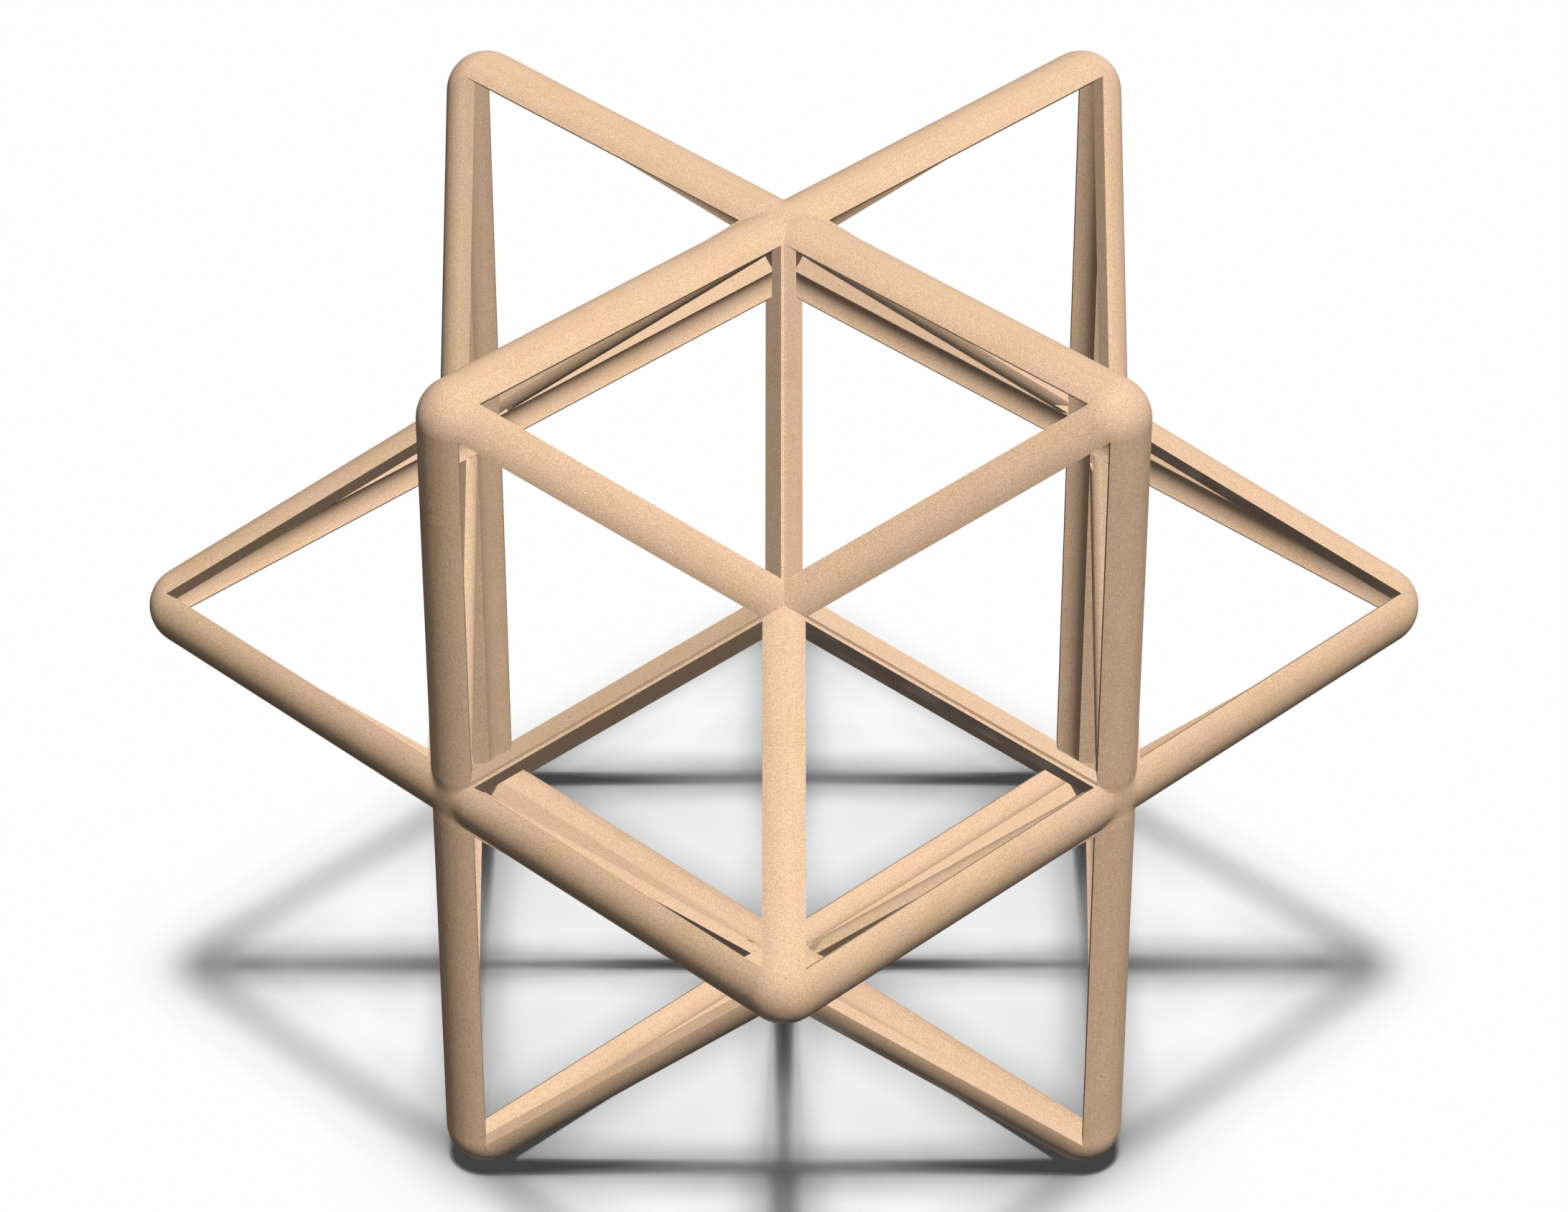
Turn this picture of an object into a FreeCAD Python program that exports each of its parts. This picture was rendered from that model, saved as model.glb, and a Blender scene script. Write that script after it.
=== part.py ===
"""A six-piece star puzzle in wood, as an open frame with the shape of Escher's solid.

The solid has twelve points, at every arrangement of (0, +-TIP, +-TIP).  Its ridges are thin
rounded shell bars, its faces are open windows, and a narrow lip follows each valley.
Six identical sticks make it up, and each stick owns two neighbouring points.

The right stick is modelled first, about the centre of the puzzle.  It lies on +X and runs
along Z.  The other five are turned copies of it.  The puzzle stands on z = 0.
"""

import FreeCAD, Part
import math
import os

Vector = FreeCAD.Vector

# Driving dimensions, in millimetres.
TIP = 60.0              # each point, if it were sharp, has two coordinates of this size
RIDGE_RADIUS = 5.05     # outer rounding of every ridge and point
WALL = 2.2              # thickness of the shell, square to its surface
LIP_WIDTH = 0.4         # width of face left beside each valley
SEAM_GAP = 0.01         # play between two sticks at every seam
BLEND_SHARPNESS = 4     # how tightly the roundings of two crossing ridges meet
ROOF_STEPS = 24         # divisions of their blended surface, each way
JOIN_TOLERANCE = 0.001  # a bar's end may miss the edge of the blended surface by this much

# Sizes that follow from them.
BORE_RADIUS = RIDGE_RADIUS - WALL
CENTRE = TIP - math.sqrt(2) * RIDGE_RADIUS  # the rounding's centre lines end here
EAR = RIDGE_RADIUS / math.sqrt(2)           # half width of a spine, seen from outside
HALF_HEIGHT = CENTRE + RIDGE_RADIUS
BLOCK = 8 * TIP                             # edge of the blocks that trim a bar
LONG_RIDGE_HALF_ANGLE = 45.0                # half the angle between the faces' normals
SHORT_RIDGE_HALF_ANGLE = 30.0

X = Vector(1, 0, 0)
Y = Vector(0, 1, 0)
Z = Vector(0, 0, 1)
SIDE_NAMES = {
    (1, 0, 0): "right", (-1, 0, 0): "left",
    (0, 1, 0): "back", (0, -1, 0): "front",
    (0, 0, 1): "top", (0, 0, -1): "bottom",
}
# Where each stick sends the right stick's X, Y and Z.
STICKS = {
    "right": (X, Y, Z),
    "left": (-X, -Y, Z),
    "back": (Y, Z, X),
    "front": (-Y, -Z, X),
    "top": (Z, X, Y),
    "bottom": (-Z, -X, Y),
}


def unit(x, y, z):
    """A direction of length 1."""
    return Vector(x, y, z).normalize()


def beyond(point, normal):
    """A block that fills the side of a plane that its normal points to."""
    block = Part.makeBox(BLOCK, BLOCK, BLOCK, Vector(-BLOCK / 2, -BLOCK / 2, 0))
    block.Placement = FreeCAD.Placement(point, FreeCAD.Rotation(Z, normal))
    return block


def trim(solid, planes):
    """Keep what lies beyond every (point, normal) plane."""
    for point, normal in planes:
        solid = solid.common(beyond(point, normal))
    return solid.Solids[0]


def shell_bar(start, end, outward, half_angle):
    """A bar with a ring sector as its section, swept from start to end.

    Both are points on the centre line of its rounding, and outward bisects the sector.
    """
    axis = (end - start).normalize()
    sideways = axis.cross(outward)

    def rim(radius, degrees):
        angle = math.radians(degrees)
        return start + (outward * math.cos(angle) + sideways * math.sin(angle)) * radius

    outer = [rim(RIDGE_RADIUS, angle) for angle in (-half_angle, 0, half_angle)]
    inner = [rim(BORE_RADIUS, angle) for angle in (half_angle, 0, -half_angle)]
    section = Part.Wire([
        Part.Arc(*outer).toShape(),
        Part.makeLine(outer[2], inner[0]),
        Part.Arc(*inner).toShape(),
        Part.makeLine(inner[2], outer[0]),
    ])
    return Part.Face(section).extrude(end - start)


def knuckle(end):
    """The domed star point of the right stick: end is 1 for the top one, -1 for the bottom one."""
    centre = Vector(CENTRE, 0, end * CENTRE)
    inward = unit(-1, 0, -end)
    turned = FreeCAD.Rotation(inward, Y.cross(inward), Y, "ZXY")
    dome = Part.makeSphere(RIDGE_RADIUS).cut(Part.makeSphere(BORE_RADIUS))
    dome.Placement = FreeCAD.Placement(centre, turned)
    bar_ends = [X, Z * end, unit(1, 1, end), unit(1, -1, end)]
    return trim(dome, [(centre, normal) for normal in bar_ends])


def blend_height(y, z):
    """How far the outside of a crossing stands out from the ridges' centre lines at one place.

    The place is at most EAR from the middle each way.  Along each edge of that square the outside
    follows the ridge that runs over the edge, and in between one rounding turns into the other.
    """
    share_along_z = (1 - (y / EAR) ** 2) ** BLEND_SHARPNESS
    share_along_y = (1 - (z / EAR) ** 2) ** BLEND_SHARPNESS
    if share_along_z + share_along_y == 0:
        return EAR
    height_along_z = math.sqrt(RIDGE_RADIUS ** 2 - y ** 2)
    height_along_y = math.sqrt(RIDGE_RADIUS ** 2 - z ** 2)
    blended = share_along_z * height_along_z + share_along_y * height_along_y
    return blended / (share_along_z + share_along_y)


def wedge(axis, sideways):
    """All that lies within a right-angled wedge about a ridge that runs along axis."""
    near = Vector(CENTRE, 0, 0) - axis * TIP
    far = near + X * TIP
    outline = Part.makePolygon([near, far + sideways * TIP, far - sideways * TIP, near])
    return Part.Face(outline).extrude(axis * 2 * TIP)


def crossing():
    """The square middle of a spine, where two ridges cross and blend into each other.

    The points of its outside lie closer together towards the edges, where the shape changes faster.
    """
    turns = [math.pi * (step / ROOF_STEPS - 0.5) for step in range(ROOF_STEPS + 1)]
    places = [EAR * math.sin(turn) for turn in turns]
    roof = Part.BSplineSurface()
    roof.interpolate([[Vector(CENTRE + blend_height(y, z), y, z) for z in places] for y in places])
    block = roof.toShape().extrude(-X * RIDGE_RADIUS)
    middle = Vector(CENTRE, 0, 0)
    for axis in (Y, Z):
        block = block.cut(Part.makeCylinder(BORE_RADIUS, 2 * TIP, middle - axis * TIP, axis))
    return block.common(wedge(Y, Z).fuse(wedge(Z, Y)))


def spine():
    """The long outer bar: a knuckle at each end, and the crossing where two ribs meet its ears."""
    body = crossing()
    for end in (1, -1):
        start = Vector(CENTRE, 0, end * EAR)
        stop = Vector(CENTRE, 0, end * CENTRE)
        bar = shell_bar(start, stop, X, LONG_RIDGE_HALF_ANGLE)
        body = body.fuse([bar, knuckle(end)], JOIN_TOLERANCE)
    return body.removeSplitter().Solids[0]


def rib(end):
    """The bar from a knuckle to the ear of the stick that crosses there."""
    start = Vector(CENTRE, 0, end * CENTRE)
    stop = Vector(EAR + SEAM_GAP, 0, end * CENTRE)
    return shell_bar(start, stop, Z * end, LONG_RIDGE_HALF_ANGLE)


def seam(side, axis, end):
    """The plane between this stick and its neighbour: side is the neighbour's Y direction."""
    normal = (axis * end - Y * side).normalize()
    return normal * (SEAM_GAP / 2), normal


def strut(end, side):
    """The bar from a knuckle to a three-way corner, mitred against two other sticks."""
    start = Vector(CENTRE, 0, end * CENTRE)
    corner = Vector(CENTRE, side * CENTRE, end * CENTRE) / 2
    overshoot = (corner - start).normalize() * RIDGE_RADIUS
    bar = shell_bar(start, corner + overshoot, unit(1, 2 * side, end), SHORT_RIDGE_HALF_ANGLE)
    return trim(bar, [seam(side, X, 1), seam(side, Z, end)])


def lip(end, side, on_spine):
    """The strip beside a valley, from a spine or a rib to the foot of a strut.

    Its inside is rounded about the valley's edge, so the wall is as thick there as elsewhere.
    """
    if on_spine:
        valley_start = Vector(TIP, 0, 0)
        along_ridge = Z * end
        butts = []
    else:
        valley_start = Vector(0, 0, end * TIP)
        along_ridge = X
        butts = [(X * (EAR + SEAM_GAP), X)]
    face = (valley_start / TIP + Y * side).normalize()
    corner = Vector(TIP, side * TIP, end * TIP) / 2
    valley = corner - valley_start
    seam_normal = (along_ridge - Y * side).normalize()
    width = (seam_normal - face * seam_normal.dot(face)).normalize() * LIP_WIDTH
    bisector = (face - seam_normal * face.dot(seam_normal)).normalize()
    edge = valley_start + width
    flat_end = valley_start - face * WALL
    halfway = valley_start - (face + bisector).normalize() * WALL
    crest = valley_start - bisector * WALL
    outline = Part.Wire([
        Part.makeLine(valley_start, edge),
        Part.makeLine(edge, edge - face * WALL),
        Part.makeLine(edge - face * WALL, flat_end),
        Part.Arc(flat_end, halfway, crest).toShape(),
        Part.makeLine(crest, valley_start),
    ])
    strip = Part.Face(outline).extrude(valley)
    knuckle_centre = Vector(CENTRE, 0, end * CENTRE)
    ridge_wall = (Y * side - valley_start / TIP).normalize()
    strut_line = corner * (CENTRE / TIP) - knuckle_centre
    strut_wall = strut_line.cross(face).normalize()
    if strut_wall.dot(valley) > 0:
        strut_wall = -strut_wall
    seam_plane = (seam_normal * (SEAM_GAP / 2), seam_normal)
    ends = [(knuckle_centre, ridge_wall), (knuckle_centre, strut_wall)]
    return trim(strip, [seam_plane] + ends + butts)


def lips(side):
    """The four strips that follow one zigzag seam of the stick."""
    return Part.makeCompound([lip(end, side, on_spine) for end in (1, -1) for on_spine in (True, False)])


def place(shape, axes):
    """Turn a part of the right stick into another stick, and stand the puzzle on z = 0."""
    x, y, z = axes
    turn = FreeCAD.Matrix(
        x.x, y.x, z.x, 0,
        x.y, y.y, z.y, 0,
        x.z, y.z, z.z, HALF_HEIGHT,
        0, 0, 0, 1,
    )
    return shape.transformed(turn, copy=True)


def side_name(direction):
    """The word for a direction along one of the axes."""
    return SIDE_NAMES[tuple(round(value) for value in direction)]


def export(node, shape):
    shape.exportStep(f"parts/{node}.step")


def export_stick(stick, axes):
    """Write the nine nodes of one stick, each named by the way it points."""
    _, across, along = axes
    export(f"{stick}_spine", place(spine(), axes))
    for end in (1, -1):
        tip = side_name(along * end)
        export(f"{stick}_rib_{tip}", place(rib(end), axes))
        for side in (1, -1):
            export(f"{stick}_strut_{tip}_{side_name(across * side)}", place(strut(end, side), axes))
    for side in (1, -1):
        export(f"{stick}_lips_{side_name(across * side)}", place(lips(side), axes))


os.makedirs("parts", exist_ok=True)
for stick_name, stick_axes in STICKS.items():
    export_stick(stick_name, stick_axes)
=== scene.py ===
import bpy
import numpy as np
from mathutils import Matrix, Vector


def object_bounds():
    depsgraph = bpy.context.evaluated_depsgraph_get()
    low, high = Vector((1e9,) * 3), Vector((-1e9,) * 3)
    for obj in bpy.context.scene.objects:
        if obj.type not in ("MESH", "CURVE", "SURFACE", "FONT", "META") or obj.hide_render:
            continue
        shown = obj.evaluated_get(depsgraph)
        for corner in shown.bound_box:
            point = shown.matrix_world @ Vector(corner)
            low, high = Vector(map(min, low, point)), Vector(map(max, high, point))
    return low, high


# The looks of the six-piece star puzzle: pale, fine-sanded wood on a white floor, in soft light.
# Lengths are in metres.

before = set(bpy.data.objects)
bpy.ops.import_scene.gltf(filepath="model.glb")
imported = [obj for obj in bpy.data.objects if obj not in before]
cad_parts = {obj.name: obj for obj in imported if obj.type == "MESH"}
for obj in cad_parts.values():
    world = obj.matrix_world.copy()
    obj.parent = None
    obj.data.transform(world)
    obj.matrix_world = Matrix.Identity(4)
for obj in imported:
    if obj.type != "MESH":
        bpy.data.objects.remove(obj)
cad_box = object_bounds()

# The camera looks along a body diagonal of the puzzle's box, between its front and right sides.
CENTRE = (Vector(cad_box[0]) + Vector(cad_box[1])) / 2
HALF_SIZE = (cad_box[1][2] - cad_box[0][2]) / 2
VIEW_FROM = Vector((1, -1, 1)).normalized()
CAMERA_DISTANCE = 12.454 * HALF_SIZE
SENSOR_WIDTH_MM = 36
LENS_MM = 131.6
CAMERA_SHIFT_Y = -0.0005

# Lights, as (name, direction towards the light, strength), where 1 shows the wood's own colour.
PUZZLE_LIGHTS = [
    ("key_light", (0.54, -0.09, 0.84), 0.69),
    ("front_light", (0.29, -0.33, 0.90), 0.43),
    ("back_light", (-0.32, 0.94, 0.09), 0.23),
    ("low_light", (-0.22, -0.02, -0.98), 0.18),
]
# The floor's own lights: two that cast its shadow, as (name, strength, spread), and one without.
SHADOW_LIGHTS = [
    ("overhead_light", 0.55, 0.12),
    ("wide_overhead_light", 0.50, 0.30),
]
FLOOR_FILL_LIGHT = 0.06

FLOOR_SIZE = 40.0
FLOOR_COLOUR = (0.9, 0.9, 0.9)

# The wood, as linear colours and the sizes of its features.
WOOD_COLOUR = (0.85, 0.593, 0.396, 1)
NOISE_RANGE = (0.3, 0.7)  # soft noise seldom goes past these values
SPECKLE_RANGE = (0.25, 0.75)
HANDLED_RANGE = (0.50, 0.65)
SPECKLE_SIZE = 0.00012
SPECKLE_CONTRAST = 0.3
STREAK_WIDTH = 0.0006
STREAK_STRETCH = 14
STREAK_CONTRAST = 0.03
PATCH_SIZE = 0.005
BLUSH_SIZE = 0.0025
HANDLING_SIZE = 0.009
# Tints over the wood's colour, as (noise, its value where the tint starts, where it is full, tint).
TINTS = [
    ("patches", 0.45, 0.65, (1.0, 0.97, 0.99, 1)),
    ("patches", 0.52, 0.35, (0.99, 0.98, 0.92, 1)),
    ("blush", 0.62, 0.72, (1.0, 0.94, 0.86, 1)),
    ("handling", *HANDLED_RANGE, (0.985, 0.975, 0.96, 1)),
]
# Small dark flecks, in some of the cells that share out the wood.
FLECK_SPACING = 0.0018
FLECK_SIZE = 0.00013
FLECK_RARITY = 0.55
FLECK_STRENGTH = 0.8
FLECK_TINT = (0.5, 0.42, 0.36, 1)
# The finish: sanded wood, a little smoother where it has been handled.
ROUGHNESS = (0.68, 0.80)
PATCH_ROUGHNESS = 0.04
HANDLED_POLISH = 0.12
SPECULAR_LEVEL = 0.2
DIFFUSE_ROUGHNESS = 0.07
BUMP_STRENGTH = 0.25
BUMP_HEIGHT = 0.00004
SPECKLE_RELIEF = 0.6
STREAK_RELIEF = 0.4
FLECK_DEPTH = 0.5


def white_world():
    """A white backdrop that the camera sees and that lights nothing."""
    world = bpy.data.worlds.new("white_world")
    world.use_nodes = True
    world.node_tree.nodes["Background"].inputs["Color"].default_value = (1, 1, 1, 1)
    world.cycles_visibility.diffuse = False
    world.cycles_visibility.glossy = False
    world.cycles_visibility.transmission = False
    bpy.context.scene.world = world


def add_camera():
    """The camera, at the photograph's viewing angle."""
    data = bpy.data.cameras.new("camera")
    data.sensor_width = SENSOR_WIDTH_MM
    data.lens = LENS_MM
    data.shift_y = CAMERA_SHIFT_Y
    camera = bpy.data.objects.new("camera", data)
    camera.location = CENTRE + VIEW_FROM * CAMERA_DISTANCE
    camera.rotation_euler = (-VIEW_FROM).to_track_quat("-Z", "Y").to_euler()
    bpy.context.scene.collection.objects.link(camera)
    bpy.context.scene.camera = camera


def add_sun(name, towards, strength, lit, spread=0.0, shadows=False):
    """A distant light that only lights the objects in lit."""
    data = bpy.data.lights.new(name, "SUN")
    data.energy = strength * np.pi
    data.angle = spread
    data.use_shadow = shadows
    lamp = bpy.data.objects.new(name, data)
    lamp.rotation_euler = Vector(towards).to_track_quat("Z", "Y").to_euler()
    bpy.context.scene.collection.objects.link(lamp)
    group = bpy.data.collections.new(name + "_receivers")
    for thing in lit:
        group.objects.link(thing)
    lamp.light_linking.receiver_collection = group


def add_floor():
    """The pale floor that the puzzle stands on."""
    half = FLOOR_SIZE / 2
    height = cad_box[0][2]
    corners = [(x * half, y * half, height) for x, y in ((-1, -1), (1, -1), (1, 1), (-1, 1))]
    mesh = bpy.data.meshes.new("floor")
    mesh.from_pydata(corners, [], [(0, 1, 2, 3)])
    floor = bpy.data.objects.new("floor", mesh)
    bpy.context.scene.collection.objects.link(floor)
    material = bpy.data.materials.new("floor_paper")
    material.use_nodes = True
    shader = material.node_tree.nodes["Principled BSDF"]
    shader.inputs["Base Color"].default_value = (*FLOOR_COLOUR, 1)
    shader.inputs["Roughness"].default_value = 1
    shader.inputs["Specular IOR Level"].default_value = 0
    mesh.materials.append(material)
    floor.visible_diffuse = False
    floor.visible_glossy = False
    return floor


class Graph:
    """Short calls for wiring up a node tree."""

    def __init__(self, tree):
        self.tree = tree

    def node(self, kind, inputs=None, **settings):
        """A new node, with some inputs set or linked and some settings made."""
        made = self.tree.nodes.new(kind)
        for name, value in settings.items():
            setattr(made, name, value)
        for name, value in (inputs or {}).items():
            self.feed(made.inputs[name], value)
        return made

    def feed(self, socket, value):
        """Link an output to a socket, or set the socket to a value."""
        if isinstance(value, bpy.types.NodeSocket):
            self.tree.links.new(value, socket)
        else:
            socket.default_value = value

    def noise(self, where, size, detail=2.0, roughness=0.5):
        """Soft noise with features of about that size."""
        inputs = {"Vector": where, "Scale": 1 / size, "Detail": detail, "Roughness": roughness}
        return self.node("ShaderNodeTexNoise", inputs).outputs["Fac"]

    def remap(self, value, low, high, new_low, new_high):
        """The value's range from low to high, stretched to a new range and clamped there."""
        inputs = {"Value": value, "From Min": low, "From Max": high}
        inputs.update({"To Min": new_low, "To Max": new_high})
        return self.node("ShaderNodeMapRange", inputs).outputs["Result"]

    def math(self, operation, first, second):
        """The result of one sum."""
        return self.node("ShaderNodeMath", {0: first, 1: second}, operation=operation).outputs[0]

    def tint(self, factor, colour, tint_colour):
        """The colour, multiplied by a tint as far as the factor says."""
        made = self.node("ShaderNodeMix", data_type="RGBA", blend_type="MULTIPLY")
        first_colour, second_colour = [socket for socket in made.inputs if socket.type == "RGBA"]
        self.feed(made.inputs["Factor"], factor)
        self.feed(first_colour, colour)
        self.feed(second_colour, tint_colour)
        return next(socket for socket in made.outputs if socket.type == "RGBA")


def wood_surface():
    """A node group: fine sandy speckle, soft patches, faint streaks along the grain, flecks and wear."""
    tree = bpy.data.node_groups.new("wood_surface", "ShaderNodeTree")
    tree.interface.new_socket("Place", in_out="INPUT", socket_type="NodeSocketVector")
    tree.interface.new_socket("Along Grain", in_out="INPUT", socket_type="NodeSocketVector")
    tree.interface.new_socket("Color", in_out="OUTPUT", socket_type="NodeSocketColor")
    tree.interface.new_socket("Roughness", in_out="OUTPUT", socket_type="NodeSocketFloat")
    tree.interface.new_socket("Normal", in_out="OUTPUT", socket_type="NodeSocketVector")
    graph = Graph(tree)
    given = graph.node("NodeGroupInput").outputs
    place = given["Place"]
    grain = given["Along Grain"]

    speckle = graph.noise(place, SPECKLE_SIZE, detail=1.0)
    streaks = graph.noise(grain, STREAK_WIDTH, detail=3.0, roughness=0.6)
    noises = {
        "patches": graph.noise(place, PATCH_SIZE),
        "blush": graph.noise(grain, BLUSH_SIZE, detail=3.0, roughness=0.6),
        "handling": graph.noise(place, HANDLING_SIZE),
    }
    cells = graph.node("ShaderNodeTexVoronoi", {"Vector": place, "Scale": 1 / FLECK_SPACING})
    chance = graph.node("ShaderNodeSeparateColor", {"Color": cells.outputs["Color"]}).outputs[0]
    fleck_reach = graph.remap(chance, FLECK_RARITY, 1.0, 0.0, FLECK_SIZE / FLECK_SPACING)
    flecks = graph.math("LESS_THAN", cells.outputs["Distance"], fleck_reach)

    speckled = graph.remap(speckle, *SPECKLE_RANGE, 1 - SPECKLE_CONTRAST, 1 + SPECKLE_CONTRAST)
    streaked = graph.remap(streaks, *NOISE_RANGE, 1 - STREAK_CONTRAST, 1 + STREAK_CONTRAST)
    lightness = graph.math("MULTIPLY", speckled, streaked)
    base = graph.node("ShaderNodeCombineColor", {0: lightness, 1: lightness, 2: lightness}).outputs[0]
    base = graph.tint(1.0, base, WOOD_COLOUR)
    for noise, start, full, colour in TINTS:
        base = graph.tint(graph.remap(noises[noise], start, full, 0, 1), base, colour)
    base = graph.tint(graph.math("MULTIPLY", flecks, FLECK_STRENGTH), base, FLECK_TINT)

    sanded = graph.math(
        "ADD",
        graph.remap(speckle, *NOISE_RANGE, *ROUGHNESS),
        graph.remap(noises["patches"], *NOISE_RANGE, -PATCH_ROUGHNESS, PATCH_ROUGHNESS),
    )
    polish = graph.remap(noises["handling"], *HANDLED_RANGE, 0, HANDLED_POLISH)
    rough = graph.math("SUBTRACT", sanded, polish)
    speckle_relief = graph.math("MULTIPLY", speckle, SPECKLE_RELIEF)
    streak_relief = graph.math("MULTIPLY", streaks, STREAK_RELIEF)
    relief = graph.math("ADD", speckle_relief, streak_relief)
    relief = graph.math("SUBTRACT", relief, graph.math("MULTIPLY", flecks, FLECK_DEPTH))
    bump_inputs = {"Strength": BUMP_STRENGTH, "Distance": BUMP_HEIGHT, "Height": relief}
    bump = graph.node("ShaderNodeBump", bump_inputs)
    graph.node("NodeGroupOutput", {"Color": base, "Roughness": rough, "Normal": bump.outputs["Normal"]})
    return tree


def wood_material(name, surface, direction):
    """Wood whose grain runs along a direction."""
    material = bpy.data.materials.new(name)
    material.use_nodes = True
    graph = Graph(material.node_tree)
    place = graph.node("ShaderNodeTexCoord").outputs["Object"]
    turn = direction.rotation_difference(Vector((1, 0, 0))).to_euler()
    turned = graph.node("ShaderNodeMapping", {"Vector": place, "Rotation": turn}, vector_type="POINT")
    squeeze = (1 / STREAK_STRETCH, 1, 1)
    squeezed = graph.node("ShaderNodeMapping", {"Vector": turned.outputs[0], "Scale": squeeze})
    wood = graph.node("ShaderNodeGroup", node_tree=surface)
    graph.feed(wood.inputs["Place"], place)
    graph.feed(wood.inputs["Along Grain"], squeezed.outputs[0])
    shader = material.node_tree.nodes["Principled BSDF"]
    shader.inputs["Specular IOR Level"].default_value = SPECULAR_LEVEL
    shader.inputs["Diffuse Roughness"].default_value = DIFFUSE_ROUGHNESS
    for output, socket in (("Color", "Base Color"), ("Roughness", "Roughness"), ("Normal", "Normal")):
        graph.feed(shader.inputs[socket], wood.outputs[output])
    return material


def longest_direction(piece):
    """The direction in which a piece is longest, which its grain follows."""
    points = np.array([vertex.co for vertex in piece.data.vertices])
    axes = np.linalg.svd(points - points.mean(axis=0), full_matrices=False)[2]
    axis = Vector(axes[0])
    largest = max(axis, key=abs)
    return axis if largest > 0 else -axis


def finish_wood():
    """Give every piece of the puzzle wood with its grain along the piece."""
    surface = wood_surface()
    made = {}
    for name, piece in sorted(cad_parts.items()):
        direction = longest_direction(piece)
        key = tuple(round(value, 1) + 0.0 for value in direction)
        if key not in made:
            made[key] = wood_material(f"wood_{len(made) + 1}", surface, direction)
        for slot in piece.material_slots:
            slot.material = made[key]


bpy.context.scene.view_settings.view_transform = "Standard"
add_camera()
white_world()
floor = add_floor()
pieces = list(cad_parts.values())
for name, towards, strength in PUZZLE_LIGHTS:
    add_sun(name, towards, strength, pieces)
for name, strength, spread in SHADOW_LIGHTS:
    add_sun(name, (0, 0, 1), strength, [floor], spread, shadows=True)
add_sun("floor_fill_light", (0, 0, 1), FLOOR_FILL_LIGHT, [floor])
for piece in pieces:
    piece.visible_diffuse = False
finish_wood()
